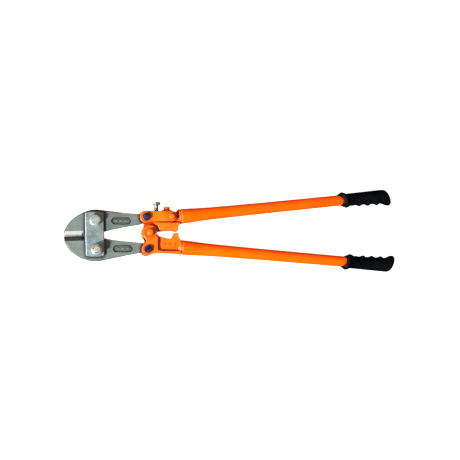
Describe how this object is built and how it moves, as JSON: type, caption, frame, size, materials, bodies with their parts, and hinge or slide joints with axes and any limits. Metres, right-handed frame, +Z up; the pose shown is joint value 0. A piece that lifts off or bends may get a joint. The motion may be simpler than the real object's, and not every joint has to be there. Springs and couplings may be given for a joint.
{
  "type": "bolt cutters",
  "caption": "Two-hand bolt cutters with compound jaws, tubular handles, black grips and an adjusting link, lying flat with the jaws shut and the handles closed.",
  "frame": {"origin": "middle of the tool's outline, on the plane that it lies on", "axes": "+X from the jaws to the grips, +Y to the side of the adjusting screw, +Z up through the tool's thickness"},
  "size_m": [0.7492, 0.1888, 0.0487],
  "materials": {
    "ground_steel": "dark ground steel with brighter cutting bevels",
    "zinc_plate": "dull bluish zinc plating",
    "bright_steel": "bright plated steel",
    "blacked_steel": "blue-black finished steel",
    "orange_cast": "glossy orange paint on cast metal",
    "orange_tube": "glossy red-orange paint on steel tube",
    "black_rubber": "smooth black moulded rubber"
  },
  "bodies": {
    "head": {"front_strap": "zinc_plate", "rear_strap": "zinc_plate", "upper_jaw_bolt": "bright_steel", "upper_jaw_nut": "bright_steel", "lower_jaw_bolt": "bright_steel", "lower_jaw_nut": "bright_steel"},
    "upper_jaw_body": {"upper_jaw": "ground_steel"},
    "lower_jaw_body": {"lower_jaw": "ground_steel"},
    "lower_handle": {"lower_handle_head": "orange_cast", "lower_tube": "orange_tube", "lower_grip": "black_rubber", "lower_rear_bolt": "blacked_steel", "lower_rear_nut": "blacked_steel", "center_bolt": "orange_cast", "center_nut": "orange_cast"},
    "upper_handle": {"upper_handle_head": "orange_cast", "upper_tube": "orange_tube", "upper_grip": "black_rubber"},
    "link": {"adjusting_link": "orange_cast", "upper_rear_bolt": "blacked_steel", "upper_rear_nut": "blacked_steel", "link_bolt": "orange_cast", "link_nut": "orange_cast", "clamp_washer": "orange_cast"},
    "screw": {"adjusting_screw": "bright_steel"},
    "clamp": {"clamp_bolt": "orange_cast"}
  },
  "joints": [
    {"name": "upper_jaw_pivot", "type": "hinge", "parent": "head", "child": "upper_jaw_body", "pos_m": [-0.31155, 0.01286, 0.0205], "axis": [0, 0, -1], "range_deg": [0, 7]},
    {"name": "lower_jaw_pivot", "type": "hinge", "parent": "head", "child": "lower_jaw_body", "pos_m": [-0.30845, -0.05046, 0.0205], "axis": [0, 0, 1], "range_deg": [0, 7]},
    {"name": "lower_rear_pivot", "type": "hinge", "parent": "lower_jaw_body", "child": "lower_handle", "pos_m": [-0.19711, -0.04852, 0.0205], "axis": [0, 0, -1], "range_deg": [0, 51]},
    {"name": "center_pivot", "type": "hinge", "parent": "lower_handle", "child": "upper_handle", "pos_m": [-0.19229, -0.01194, 0.0205], "axis": [0, 0, 1], "range_deg": [0, 90]},
    {"name": "link_pivot", "type": "hinge", "parent": "upper_handle", "child": "link", "pos_m": [-0.14396, 0.02326, 0.0205], "axis": [0, 0, -1], "range_deg": [-0.5, 1]},
    {"name": "adjusting_screw_turn", "type": "hinge", "parent": "upper_handle", "child": "screw", "pos_m": [-0.1762, 0.04, 0.0205], "axis": [0, -1, 0], "range_deg": [-85, 167]},
    {"name": "clamp_bolt_slide", "type": "slide", "parent": "link", "child": "clamp", "axis": [0, 1, 0], "range_m": [0, 0.002]}
  ],
  "couplings": [
    {"joint": "upper_jaw_pivot", "follows": "center_pivot", "ratio": 0.0765},
    {"joint": "lower_jaw_pivot", "follows": "center_pivot", "ratio": 0.0765},
    {"joint": "lower_rear_pivot", "follows": "center_pivot", "ratio": 0.5555},
    {"joint": "adjusting_screw_turn", "follows": "link_pivot", "ratio": 162.1}
  ]
}
